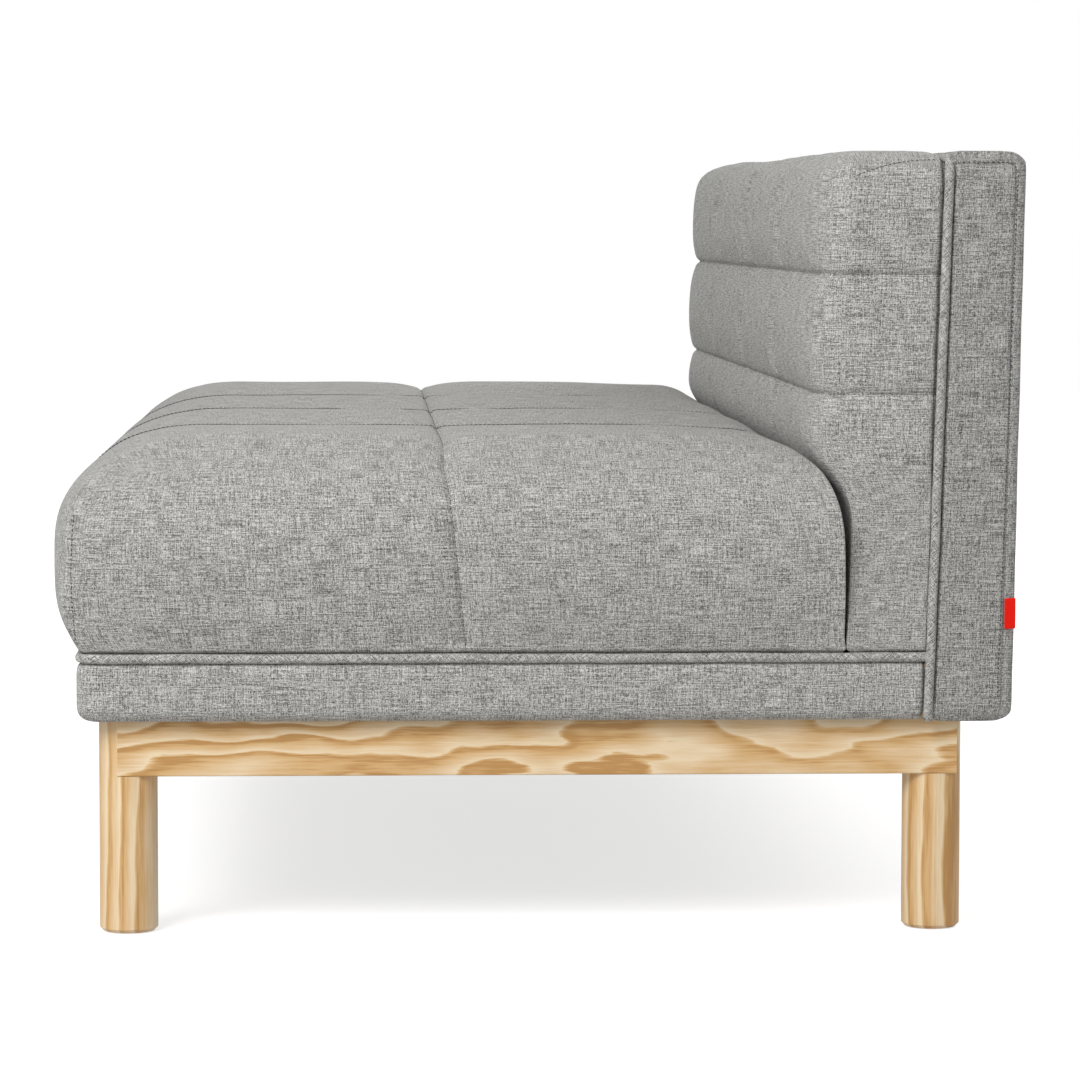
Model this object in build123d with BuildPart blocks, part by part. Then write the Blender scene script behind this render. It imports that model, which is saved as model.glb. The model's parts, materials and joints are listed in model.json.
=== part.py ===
from build123d import *

import os
from math import cos, dist, radians, sin, sqrt, tan

os.makedirs("parts", exist_ok=True)

# An armless tufted sofa in millimetres. X runs along its length, the front faces -Y and the floor is Z = 0.
# Left and right are as seen by someone who stands in front of it: left is -X.

# Overall size
deck_length = 1490.0  # upholstered base from end to end
overall_depth = 931.0  # front of the seat to the rear of the back
deck_floor = 206.0  # underside of the upholstered base
welt_level = 267.0  # middle of the welt round the deck
seat_crown = 481.0  # top of the tufts on the seat
back_top = 749.5  # top of the back, under its welt
back_lean = 1.8  # degrees that the back leans to the rear

# Ash base
leg_diameter = 56.0
leg_foot_bevel = 3.5
end_overhang = 21.0  # deck past the legs at each end
front_overhang = 19.8  # deck past the front legs
rear_overhang = 39.0  # back past the rear legs
rail_floor = 152.5  # underside of the base rails
rail_thickness = 22.0
rail_edge = 1.5  # eased lower edge of the side rails
front_rail_lap = 9.0  # side rail past the front leg's axis
rear_rail_lap = 21.0  # side rail past the rear leg's axis
rail_housing = 8.0  # front and rear rails let into the legs
corner_block_reach = 110.0  # along each rail
corner_block_height = 42.0
glide_diameter = 30.0
glide_thickness = 5.0
glide_proud = 1.0  # glide below the leg

# Seat frame and webbing
frame_rail_width = 45.0
cross_bar_height = 30.0
strap_thickness = 1.2
strap_width = 60.0
seat_strap_count = 11
cross_strap_count = 5
strap_end_margin = 10.0  # webbing short of the frame's outer face

# Back frame
post_width = 45.0
post_depth = 61.0
back_rail_height = 45.0
middle_rail_level = 470.0
board_thickness = 3.0
board_foot_gap = 8.0  # board above the frame's underside
back_strap_count = 5

# Upholstery
cover_wall = 6.0  # fabric and wadding over the frames
lip_thickness = 4.0  # fabric turned under the frame
lip_setback = 5.8  # turned-under fabric short of the legs
deck_corner = 25.0  # upright front corners of the deck
deck_edge_round = 10.0  # lower edge of the deck
welt_diameter = 9.0
welt_sides = 8  # piping drawn as a many-sided cord
dust_cloth = 1.0
soft_clearance = 0.4

# Tufts
tuft_stations = (0.0, 0.15, 0.5, 0.85, 1.0)  # outlines across a tuft, as shares of its width
tuft_fullness = 4.0  # higher is flatter, with steeper sides

# Seat tufting
seat_columns = 4
seat_front_swell = 24.0  # seat past the deck at the front
seat_end_swell = 17.0  # seat past the deck at each end
front_row_depth = 374.0  # front of the seat to the seam between the rows
row_seam_depth = 14.0
column_seam_depth = 8.0
front_shoulder = 75.0  # rounded front edge, along Y
rear_shoulder = 85.0  # rounded rear edge, along Y
rear_shoulder_fall = 63.0
end_shoulder = 75.0  # rounded ends, along X
end_stations = 4  # spans of a rounded end
seat_tip_height = 123.0  # foot of the seat to the crown of its tips
seat_end_inset = 55.0  # front drawn in over a rounded end
seat_end_rear_inset = 22.0
seat_end_lift = 8.0  # lower edge lifted at the tip
shoulder_drop = 12.0  # crown down to the shoulders
seat_wadding = 39.0  # cover thickness round the core
seat_crown_wadding = 30.0
seat_core_bevel = 50.0
belly_share = 0.42  # height of the fullest line of the front
toe_bow = 0.09  # bulges are shares of their chords
front_bow = 0.17
crown_bow = 0.042
rear_bow = 0.2

# Back tufting
back_columns = 4
back_pad_depth = 122.0  # welt line to the front of the tufts
back_tail_depth = 77.0  # welt line to the plain face behind the seat
back_seam_depth = 12.0
top_row_height = 117.5
back_row_height = 114.0
tail_sink = 28.0  # plain face of the back below the crown of the seat
back_brow = 44.0  # rounded top edge
ridge_rise = 1.0  # top edge over the welt line
back_end_round = 28.0  # front drawn back over a rounded end
back_end_shoulder = 40.0  # rounded ends, along X
back_end_drop = 10.0  # fall of the top over a rounded end
back_core_margin = 26.0  # core inside the ends and top of the cover
back_core_front = 44.0  # core behind the front of the tufts
tail_bow = 0.2  # bulges are shares of their chords
row_bow = 0.1
brow_bow = 0.18
top_bow = 0.06

# Outside back
outside_back_depth = 77.0  # welt line to the rear
back_rear_round = 20.0
back_foot_round = 14.0
back_end_edge = 10.0

# Label tab in the rear seam of the right end
tab_width = 10.5
tab_height = 29.5
tab_thickness = 1.2
tab_level = 294.0
tab_gap = 0.2

# Fasteners
bolt_diameter = 8.0
bolt_clearance = 0.2  # round each shank
bolt_head_width = 13.0
bolt_head_height = 5.5
washer_width = 20.0  # square plate washers
washer_thickness = 2.0
base_bolt_sink = 25.0  # heads up inside the side rails
base_bolt_grip = 28.0  # thread in the seat frame
base_bolt_spacing = 500.0
base_bolt_count = 2
back_bolt_spacing = 960.0
back_bolt_count = 2
back_nut_height = 7.0

# Places worked out from the sizes above
leg_radius = leg_diameter / 2
welt_radius = welt_diameter / 2
lean = tan(radians(back_lean))
seat_front = -overall_depth / 2
deck_front = seat_front + seat_front_swell
deck_end = deck_length / 2
back_foot = overall_depth / 2 - outside_back_depth - (back_top - deck_floor) * lean


def back_line(z):
    """Y of the welt line of the leaning back at height z."""
    return back_foot + (z - deck_floor) * lean


lip_width = front_overhang - lip_setback
frame_floor = deck_floor + lip_thickness
base_top = frame_floor - dust_cloth
frame_end = deck_end - cover_wall - soft_clearance
frame_front = deck_front + cover_wall + soft_clearance
strap_top = welt_level - welt_radius
frame_top = strap_top - 2 * strap_thickness
side_rail_top = frame_top + strap_thickness
back_frame_top = back_top - cover_wall - soft_clearance
welt_end = frame_end + soft_clearance + welt_radius
welt_front = frame_front - soft_clearance - welt_radius
welt_top = back_frame_top + soft_clearance + welt_radius
welt_gap = welt_radius + soft_clearance
post_front = welt_gap + soft_clearance
strap_face = post_front - strap_thickness
back_rear_foot = back_foot + outside_back_depth
seat_rear = back_foot - back_tail_depth - soft_clearance
rear_rail_front = back_foot - frame_rail_width

leg_x = deck_end - end_overhang - leg_radius
front_leg_y = deck_front + front_overhang + leg_radius
rear_leg_y = back_rear_foot - rear_overhang - leg_radius
side_rail_outer = leg_x + leg_radius
side_rail_inner = side_rail_outer - rail_thickness
side_rail_front = front_leg_y - front_rail_lap
side_rail_rear = rear_leg_y + rear_rail_lap
cross_rail_end = leg_x - leg_radius + rail_housing
corner_block_floor = base_top - corner_block_height
corner_block_face = (corner_block_reach + rail_thickness / 2 + leg_x - side_rail_inner) / sqrt(2)
corner_block_cut = corner_block_reach - sqrt(2) * (corner_block_face - leg_radius - bolt_clearance)
leg_bolt_level = corner_block_floor + corner_block_height / 2
base_bolt_x = (side_rail_inner + side_rail_outer) / 2
base_bolt_y = [base_bolt_spacing * (i - (base_bolt_count - 1) / 2) for i in range(base_bolt_count)]
back_bolt_x = [back_bolt_spacing * (i - (back_bolt_count - 1) / 2) for i in range(back_bolt_count)]
back_bolt_level = (frame_floor + frame_top) / 2
bolt_hole = bolt_diameter / 2 + bolt_clearance

sides = (("left", -1), ("right", 1))
ends = (("front", -1, front_leg_y), ("rear", 1, rear_leg_y))


def save(builder, name):
    """Label a finished piece and write its file."""
    builder.part.label = name
    export_step(builder.part, f"parts/{name}.step")


def block(x_range, y_range, z_range):
    """A rectangular timber or slab between two corners."""
    with BuildPart() as timber:
        with BuildSketch(Plane.XY.offset(z_range[0])):
            with Locations((sum(x_range) / 2, sum(y_range) / 2)):
                Rectangle(x_range[1] - x_range[0], y_range[1] - y_range[0])
        extrude(amount=z_range[1] - z_range[0])
    return timber


def upright(x_range, front, rear, z_range):
    """A piece of the back frame, its front and rear at set distances from the leaning welt line."""
    low, high = z_range
    with BuildPart() as piece:
        with BuildSketch(Plane.YZ.offset(x_range[0])):
            with BuildLine():
                Polyline(
                    (back_line(low) + front, low),
                    (back_line(low) + rear, low),
                    (back_line(high) + rear, high),
                    (back_line(high) + front, high),
                    close=True,
                )
            make_face()
        extrude(amount=x_range[1] - x_range[0])
    return piece


def bow(start, end, share):
    """An arc that bulges outward by a share of its chord."""
    SagittaArc(start, end, share * dist(start, end))


def round_off(station):
    """Run and fall of a quarter round at one of its stations, each from 0 at its start to 1 at its end."""
    angle = radians(90) * station / end_stations
    return sin(angle), 1 - cos(angle)


def tuft_sink(share, low_seam, high_seam):
    """How far a tuft lies below its crown at a share of its width, between seams of two depths."""
    depth = low_seam if share < 0.5 else high_seam
    return depth * abs(2 * share - 1) ** tuft_fullness


# Legs: round posts with a rebate for the side rail, a housing for the cross rail and a recess for the glide
def leg(side, end, y):
    axis = (side * leg_x, y)
    rail_tip = side_rail_front if end < 0 else side_rail_rear
    with BuildPart() as post:
        with BuildSketch(Plane.XY.offset(glide_proud)):
            with Locations(axis):
                Circle(leg_radius)
        extrude(amount=base_top - glide_proud)
        chamfer(post.edges().group_by(Axis.Z)[0], leg_foot_bevel)
        with BuildSketch(Plane.XY.offset(glide_proud)):
            with Locations(axis):
                Circle(glide_diameter / 2 + bolt_clearance)
        extrude(amount=glide_thickness - glide_proud, mode=Mode.SUBTRACT)
        with BuildSketch(Plane.XY.offset(rail_floor)):
            with Locations((side * (side_rail_inner + rail_thickness), rail_tip - end * leg_diameter)):
                Rectangle(2 * rail_thickness, 2 * leg_diameter)
            with Locations((side * (cross_rail_end - leg_radius), y)):
                Rectangle(leg_diameter, rail_thickness)
        extrude(amount=base_top - rail_floor, mode=Mode.SUBTRACT)
        with BuildSketch(leg_bolt_plane(side, end, y)):
            Circle(bolt_hole)
        extrude(amount=leg_diameter, mode=Mode.SUBTRACT)
    return post


def leg_bolt_plane(side, end, y):
    """Plane on a leg's axis that faces the middle of the base at 45 degrees."""
    return Plane(origin=(side * leg_x, y, leg_bolt_level), z_dir=(-side, -end, 0))


for side_name, side in sides:
    for end_name, end, y in ends:
        save(leg(side, end, y), f"leg_{end_name}_{side_name}")

# Glides: nylon discs let into the undersides of the legs
with BuildPart() as glides:
    with BuildSketch(Plane.XY):
        with Locations([(side * leg_x, y) for side_name, side in sides for end_name, end, y in ends]):
            Circle(glide_diameter / 2)
    extrude(amount=glide_thickness)
save(glides, "glides")

# Side rails: flush with the outside of the legs, counterbored from below for the base bolts
for side_name, side in sides:
    with BuildPart() as side_rail:
        with BuildSketch(Plane.XY.offset(rail_floor)):
            with Locations((side * base_bolt_x, (side_rail_front + side_rail_rear) / 2)):
                Rectangle(rail_thickness, side_rail_rear - side_rail_front)
        extrude(amount=base_top - rail_floor)
        lower_edges = side_rail.edges().filter_by(Axis.Y).group_by(Axis.Z)[0]
        fillet(lower_edges.sort_by(Axis.X)[-1 if side > 0 else 0], rail_edge)
        for y in base_bolt_y:
            with Locations(Plane(origin=(side * base_bolt_x, y, rail_floor), z_dir=(0, 0, -1))):
                CounterBoreHole(bolt_hole, bolt_head_width / 2 + bolt_clearance, base_bolt_sink)
    save(side_rail, f"side_rail_{side_name}")

# Cross rails between the legs, and the stretcher between the cross rails
for end_name, end, y in ends:
    cross_rail = block(
        (-cross_rail_end, cross_rail_end),
        (y - rail_thickness / 2, y + rail_thickness / 2),
        (rail_floor, base_top),
    )
    save(cross_rail, f"{end_name}_rail")

center_stretcher = block(
    (-rail_thickness / 2, rail_thickness / 2),
    (front_leg_y + rail_thickness / 2, rear_leg_y - rail_thickness / 2),
    (rail_floor, base_top),
)
save(center_stretcher, "center_stretcher")

# Corner blocks: triangles in the corners of the base, cut off beside the legs and drilled for the leg bolts
for side_name, side in sides:
    for end_name, end, y in ends:
        corner_y = y - end * rail_thickness / 2
        with BuildPart() as corner_block:
            with BuildSketch(Plane.XY.offset(corner_block_floor)):
                with BuildLine():
                    Polyline(
                        (side * (side_rail_inner - corner_block_cut), corner_y),
                        (side * (side_rail_inner - corner_block_reach), corner_y),
                        (side * side_rail_inner, corner_y - end * corner_block_reach),
                        (side * side_rail_inner, corner_y - end * corner_block_cut),
                        close=True,
                    )
                make_face()
            extrude(amount=corner_block_height)
            with BuildSketch(leg_bolt_plane(side, end, y)):
                Circle(bolt_hole)
            extrude(amount=corner_block_reach, mode=Mode.SUBTRACT)
        save(corner_block, f"corner_block_{end_name}_{side_name}")

# Leg bolts and washers: one through each corner block, along the diagonal into the leg
with BuildPart() as leg_bolts:
    for side_name, side in sides:
        for end_name, end, y in ends:
            bolt_plane = leg_bolt_plane(side, end, y)
            with BuildSketch(bolt_plane):
                Circle(bolt_diameter / 2)
            extrude(amount=corner_block_face + washer_thickness)
            with BuildSketch(bolt_plane.offset(corner_block_face + washer_thickness)):
                RegularPolygon(bolt_head_width / 2, 6, major_radius=False)
            extrude(amount=bolt_head_height)
save(leg_bolts, "leg_bolts")

with BuildPart() as leg_washers:
    for side_name, side in sides:
        for end_name, end, y in ends:
            with BuildSketch(leg_bolt_plane(side, end, y).offset(corner_block_face)):
                Rectangle(washer_width, washer_width)
                Circle(bolt_hole, mode=Mode.SUBTRACT)
            extrude(amount=washer_thickness)
save(leg_washers, "leg_washers")

# Base bolts: cap screws up through the side rails into the seat frame
with BuildPart() as base_bolts:
    for side_name, side in sides:
        for y in base_bolt_y:
            with BuildSketch(Plane.XY.offset(rail_floor + base_bolt_sink)):
                with Locations((side * base_bolt_x, y)):
                    Circle(bolt_diameter / 2)
            extrude(amount=frame_floor + base_bolt_grip - rail_floor - base_bolt_sink)
            with BuildSketch(Plane.XY.offset(rail_floor + base_bolt_sink)):
                with Locations((side * base_bolt_x, y)):
                    Circle(bolt_head_width / 2)
            extrude(amount=-bolt_head_height)
save(base_bolts, "base_bolts")

# Seat frame: front rail with rounded corners, rear rail bevelled to the back's lean, side rails, cross bar
with BuildPart() as seat_front_rail:
    with BuildSketch(Plane.XY.offset(frame_floor)):
        with Locations((0, frame_front + frame_rail_width / 2)):
            rail_plan = Rectangle(2 * frame_end, frame_rail_width)
        fillet(rail_plan.vertices().group_by(Axis.Y)[0], deck_corner - cover_wall)
    extrude(amount=frame_top - frame_floor)
save(seat_front_rail, "seat_front_rail")

with BuildPart() as seat_rear_rail:
    with BuildSketch(Plane.YZ.offset(-frame_end)):
        with BuildLine():
            Polyline(
                (rear_rail_front, frame_floor),
                (back_line(frame_floor) + post_front, frame_floor),
                (back_line(frame_top) + post_front, frame_top),
                (rear_rail_front, frame_top),
                close=True,
            )
        make_face()
    extrude(amount=2 * frame_end)
    for x in back_bolt_x:
        with BuildSketch(Plane(origin=(x, rear_rail_front, back_bolt_level), z_dir=(0, 1, 0))):
            Circle(bolt_hole)
        extrude(amount=2 * frame_rail_width, mode=Mode.SUBTRACT)
save(seat_rear_rail, "seat_rear_rail")

for side_name, side in sides:
    with BuildPart() as seat_side_rail:
        with BuildSketch(Plane.XY.offset(frame_floor)):
            with Locations(
                (
                    side * (frame_end - frame_rail_width / 2),
                    (frame_front + frame_rail_width + rear_rail_front) / 2,
                )
            ):
                Rectangle(frame_rail_width, rear_rail_front - frame_front - frame_rail_width)
        extrude(amount=side_rail_top - frame_floor)
        for y in base_bolt_y:
            with BuildSketch(Plane.XY.offset(frame_floor)):
                with Locations((side * base_bolt_x, y)):
                    Circle(bolt_hole)
            extrude(amount=base_bolt_grip + bolt_clearance, mode=Mode.SUBTRACT)
    save(seat_side_rail, f"seat_side_rail_{side_name}")

seat_cross_bar = block(
    (-frame_rail_width / 2, frame_rail_width / 2),
    (frame_front + frame_rail_width, rear_rail_front),
    (frame_floor, frame_floor + cross_bar_height),
)
save(seat_cross_bar, "seat_cross_bar")

# Webbing: straps from the front rail to the rear rail, and lengthwise straps over them onto the side rails
seat_strap_front = frame_front + strap_end_margin
seat_strap_length = back_foot - seat_strap_front
seat_strap_pitch = 2 * (frame_end - frame_rail_width) / seat_strap_count
with BuildPart() as seat_straps:
    with BuildSketch(Plane.XY.offset(frame_top)):
        with Locations((0, seat_strap_front + seat_strap_length / 2)):
            with GridLocations(seat_strap_pitch, 0, seat_strap_count, 1):
                Rectangle(strap_width, seat_strap_length)
    extrude(amount=strap_thickness)
save(seat_straps, "seat_straps")

cross_strap_span = rear_rail_front - frame_front - frame_rail_width
with BuildPart() as seat_cross_straps:
    with BuildSketch(Plane.XY.offset(side_rail_top)):
        with Locations((0, frame_front + frame_rail_width + cross_strap_span / 2)):
            with GridLocations(0, cross_strap_span / cross_strap_count, 1, cross_strap_count):
                Rectangle(2 * (frame_end - strap_end_margin), strap_width)
    extrude(amount=strap_thickness)
save(seat_cross_straps, "seat_cross_straps")


# Seat core: a foam block with bevelled upper edges, and the hollow for it in the cover
def seat_core(room):
    core_end = deck_end + seat_end_swell - seat_wadding + room
    core_front = seat_front + seat_wadding - room
    core_rear = seat_rear - seat_wadding / 2 + room
    core_top = seat_crown - seat_crown_wadding + room
    with BuildPart() as core:
        with BuildSketch(Plane.XY.offset(strap_top)):
            with Locations((0, (core_front + core_rear) / 2)):
                Rectangle(2 * core_end, core_rear - core_front)
        extrude(amount=core_top - strap_top)
        chamfer(core.edges().group_by(Axis.Z)[-1], seat_core_bevel)
    return core


seat_foam = seat_core(0)
save(seat_foam, "seat_foam")

# Seat cover: each column of tufts is a loft from seam to seam, with a valley where the two rows meet
seat_foot = welt_level + welt_gap
seat_end_drop = seat_crown - seat_foot - seat_tip_height
mid_seam = seat_front + front_row_depth


def seat_section(x, drop=0.0, inset=0.0, rear_inset=0.0, lift=0.0):
    """Outline of the seat across its length at x, lowered, drawn in and lifted at its foot."""
    foot = seat_foot + lift
    crest = seat_crown - drop
    front = seat_front + inset
    rear = seat_rear - rear_inset
    toe = (front + seat_front_swell, foot)
    belly = (front, foot + belly_share * (crest - foot))
    brow = (front + front_shoulder, crest - shoulder_drop)
    valley = (mid_seam, crest - row_seam_depth)
    nape = (rear - rear_shoulder, crest - shoulder_drop)
    heel_top = (rear, crest - shoulder_drop - rear_shoulder_fall)
    heel = (rear, foot)
    with BuildSketch(Plane.YZ.offset(x)) as section:
        with BuildLine():
            bow(toe, belly, toe_bow)
            bow(belly, brow, front_bow)
            bow(brow, valley, crown_bow)
            bow(valley, nape, crown_bow)
            bow(nape, heel_top, rear_bow)
            Polyline(heel_top, heel, toe)
        make_face()
    return section.sketch


def seat_end_section(side, station):
    """Outline of the seat at a station of its rounded end, from the shoulder to the tip."""
    run, fall = round_off(station)
    return seat_section(
        side * (seat_shoulder_x + run * (seat_tip_x - seat_shoulder_x)),
        fall * seat_end_drop,
        fall * seat_end_inset,
        fall * seat_end_rear_inset,
        fall * seat_end_lift,
    )


seat_pitch = deck_length / seat_columns
seat_shoulder_x = deck_end - end_shoulder
seat_tip_x = deck_end + seat_end_swell
seat_core_room = seat_core(soft_clearance).part
with BuildPart() as seat_cover:
    for column in range(seat_columns):
        low_x = max(seat_pitch * (column - seat_columns / 2), -seat_shoulder_x)
        high_x = min(seat_pitch * (column + 1 - seat_columns / 2), seat_shoulder_x)
        low_seam = 0 if column == 0 else column_seam_depth
        high_seam = 0 if column == seat_columns - 1 else column_seam_depth
        outlines = []
        for share in tuft_stations:
            sink = tuft_sink(share, low_seam, high_seam)
            outlines.append(seat_section(low_x + share * (high_x - low_x), sink, sink))
        loft(outlines, ruled=True)
    for side_name, side in sides:
        loft([seat_end_section(side, station) for station in range(end_stations + 1)], ruled=True)
    add(seat_core_room, mode=Mode.SUBTRACT)
save(seat_cover, "seat_cover")


# Deck band: padded fabric round the front and ends of the seat frame, turned under it
def deck_plan(z, inset, rear):
    """Plan of the deck, drawn in by the inset, with rounded front corners."""
    front = deck_front + inset
    with BuildSketch(Plane.XY.offset(z)) as plan:
        with Locations((0, (front + rear) / 2)):
            outline = Rectangle(2 * (deck_end - inset), rear - front)
        fillet(outline.vertices().group_by(Axis.Y)[0], deck_corner - inset)
    return plan.sketch


band_height = strap_top - soft_clearance - deck_floor
band_rear = back_line(deck_floor) - welt_gap
with BuildPart() as deck_band:
    extrude(deck_plan(deck_floor, 0, band_rear), amount=band_height)
    band_floor = deck_band.faces().sort_by(Axis.Z)[0]
    fillet(band_floor.edges().sort_by(Axis.Y)[:-1], deck_edge_round)
    extrude(deck_plan(frame_floor, cover_wall, back_foot), amount=band_height, mode=Mode.SUBTRACT)
    extrude(deck_plan(deck_floor, lip_width, back_foot), amount=band_height, mode=Mode.SUBTRACT)
save(deck_band, "deck_band")

# Deck welt: piping round the front and ends of the deck, up to the welt of the back
deck_welt_rear = back_line(welt_level) - welt_gap
with BuildPart() as deck_welt:
    with BuildLine(Plane.XY.offset(welt_level)) as deck_welt_path:
        FilletPolyline(
            (-welt_end, deck_welt_rear),
            (-welt_end, welt_front),
            (welt_end, welt_front),
            (welt_end, deck_welt_rear),
            radius=deck_corner - deck_end + welt_end,
        )
    with BuildSketch(Plane(origin=deck_welt_path.line @ 0, z_dir=deck_welt_path.line % 0)):
        RegularPolygon(welt_radius, welt_sides)
    sweep()
save(deck_welt, "deck_welt")

# Back frame: posts, rails, board and webbing that follow the lean of the back
post_rear = post_front + post_depth
post_top = back_frame_top - back_rail_height
outer_post = frame_end - post_width
for side_name, side in sides:
    inner, outer = sorted((side * outer_post, side * frame_end))
    save(
        upright((inner, outer), post_front, post_rear, (frame_floor, post_top)),
        f"back_post_{side_name}",
    )
back_post_center = upright(
    (-post_width / 2, post_width / 2), post_front, post_rear, (frame_top, post_top)
)
save(back_post_center, "back_post_center")

rail_rear = post_front + frame_rail_width
back_top_rail = upright(
    (-frame_end, frame_end), post_front, rail_rear, (post_top, back_frame_top)
)
save(back_top_rail, "back_top_rail")
for side_name, side in sides:
    inner, outer = sorted((side * post_width / 2, side * outer_post))
    middle_rail = upright(
        (inner, outer),
        post_front,
        rail_rear,
        (middle_rail_level - back_rail_height / 2, middle_rail_level + back_rail_height / 2),
    )
    save(middle_rail, f"back_middle_rail_{side_name}")

bottom_rail_rear = back_foot + post_front + frame_rail_width
with BuildPart() as back_bottom_rail:
    with BuildSketch(Plane.YZ.offset(-outer_post)):
        with BuildLine():
            Polyline(
                (back_line(frame_floor) + post_front, frame_floor),
                (bottom_rail_rear, frame_floor),
                (bottom_rail_rear, frame_top),
                (back_line(frame_top) + post_front, frame_top),
                close=True,
            )
        make_face()
    extrude(amount=2 * outer_post)
    for x in back_bolt_x:
        with BuildSketch(Plane(origin=(x, rear_rail_front, back_bolt_level), z_dir=(0, 1, 0))):
            Circle(bolt_hole)
        extrude(amount=3 * frame_rail_width, mode=Mode.SUBTRACT)
save(back_bottom_rail, "back_bottom_rail")

# Back bolts and nuts: through the bottom rail of the back and the rear rail of the seat
back_bolt_tip = rear_rail_front - back_nut_height
with BuildPart() as back_bolts:
    for x in back_bolt_x:
        with BuildSketch(Plane(origin=(x, back_bolt_tip, back_bolt_level), z_dir=(0, 1, 0))):
            Circle(bolt_diameter / 2)
        extrude(amount=bottom_rail_rear - back_bolt_tip)
        with BuildSketch(Plane(origin=(x, bottom_rail_rear, back_bolt_level), z_dir=(0, 1, 0))):
            RegularPolygon(bolt_head_width / 2, 6, major_radius=False)
        extrude(amount=bolt_head_height)
save(back_bolts, "back_bolts")

with BuildPart() as back_nuts:
    for x in back_bolt_x:
        with BuildSketch(Plane(origin=(x, back_bolt_tip, back_bolt_level), z_dir=(0, 1, 0))):
            RegularPolygon(bolt_head_width / 2, 6, major_radius=False)
            Circle(bolt_hole, mode=Mode.SUBTRACT)
        extrude(amount=back_nut_height)
save(back_nuts, "back_nuts")

board_rear = post_rear + board_thickness
outside_back_board = upright(
    (-frame_end, frame_end),
    post_rear,
    board_rear,
    (frame_floor + board_foot_gap, back_frame_top - back_rear_round),
)
save(outside_back_board, "outside_back_board")

back_strap_pitch = (post_top - frame_top) / back_strap_count
with BuildPart() as back_straps:
    for strap in range(back_strap_count):
        low = frame_top + back_strap_pitch * (strap + 0.5) - strap_width / 2
        high = low + strap_width
        with BuildSketch(Plane.YZ.offset(-frame_end + strap_end_margin)):
            with BuildLine():
                Polyline(
                    (back_line(low) + strap_face, low),
                    (back_line(low) + post_front, low),
                    (back_line(high) + post_front, high),
                    (back_line(high) + strap_face, high),
                    close=True,
                )
            make_face()
        extrude(amount=2 * (frame_end - strap_end_margin))
save(back_straps, "back_straps")


# Back core: a foam slab on the webbing, and the hollow for it in the cover
def back_core(room):
    core_end = deck_end - back_core_margin + room
    core_front = -back_pad_depth + back_core_front - room
    core_top = back_top - back_core_margin + room
    return upright((-core_end, core_end), core_front, strap_face, (strap_top, core_top))


back_foam = back_core(0)
save(back_foam, "back_foam")

# Back cover: three rows of tufts over a plain face that goes down behind the seat
first_seam = back_top - top_row_height
second_seam = first_seam - back_row_height
tail_top = seat_crown - tail_sink


def back_section(x, wrap=0.0, drop=0.0):
    """Outline of the back pad at x, with its front drawn back by the wrap and its top lowered by the drop."""
    foot = seat_foot
    top = back_top - drop
    brow_level = top - back_brow
    tuft = wrap - back_pad_depth
    seam = tuft + back_seam_depth
    tail = -back_tail_depth
    toe = (back_line(foot) + tail, foot)
    tail_end = (back_line(tail_top) + tail, tail_top)
    low_seam = (back_line(second_seam) + seam, second_seam)
    high_seam = (back_line(first_seam) + seam, first_seam)
    brow = (back_line(brow_level) + tuft + back_seam_depth / 2, brow_level)
    ridge = (back_line(top) + tuft + back_brow, top + ridge_rise)
    welt_edge = (back_line(top) - welt_gap, top)
    heel = (back_line(foot) - welt_gap, foot)
    with BuildSketch(Plane.YZ.offset(x)) as section:
        with BuildLine():
            Line(toe, tail_end)
            bow(tail_end, low_seam, tail_bow)
            bow(low_seam, high_seam, row_bow)
            bow(high_seam, brow, row_bow)
            bow(brow, ridge, brow_bow)
            bow(ridge, welt_edge, top_bow)
            Polyline(welt_edge, heel, toe)
        make_face()
    return section.sketch


def back_end_section(side, station):
    """Outline of the back pad at a station of its rounded end, from the shoulder to the end face."""
    run, fall = round_off(station)
    return back_section(
        side * (back_shoulder_x + run * (deck_end - back_shoulder_x)),
        fall * back_end_round,
        fall * back_end_drop,
    )


back_pitch = deck_length / back_columns
back_shoulder_x = deck_end - back_end_shoulder
back_core_room = back_core(soft_clearance).part
with BuildPart() as back_cover:
    for column in range(back_columns):
        low_x = max(back_pitch * (column - back_columns / 2), -back_shoulder_x)
        high_x = min(back_pitch * (column + 1 - back_columns / 2), back_shoulder_x)
        low_seam = 0 if column == 0 else column_seam_depth
        high_seam = 0 if column == back_columns - 1 else column_seam_depth
        outlines = []
        for share in tuft_stations:
            sink = tuft_sink(share, low_seam, high_seam)
            outlines.append(back_section(low_x + share * (high_x - low_x), sink, sink / 2))
        loft(outlines, ruled=True)
    for side_name, side in sides:
        loft([back_end_section(side, station) for station in range(end_stations + 1)], ruled=True)
    add(back_core_room, mode=Mode.SUBTRACT)
save(back_cover, "back_cover")


# Outside back cover: a shell over the ends, top and rear of the back frame, turned under it
def outside_back_profile(x, wall, floor, front, top_round, foot_round):
    """Side outline of the outside back, drawn in by the wall, between its floor and its top."""
    top = back_top - wall
    rear = outside_back_depth - wall
    with BuildSketch(Plane.YZ.offset(x)) as profile:
        with BuildLine():
            Polyline(
                (back_line(floor) + front, floor),
                (back_line(floor) + rear, floor),
                (back_line(top) + rear, top),
                (back_line(top) + front, top),
                close=True,
            )
        make_face()
        rear_corners = profile.vertices().group_by(Axis.X)
        fillet(rear_corners[-1], top_round)
        if foot_round:
            fillet(rear_corners[-2], foot_round)
    return profile.sketch


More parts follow.
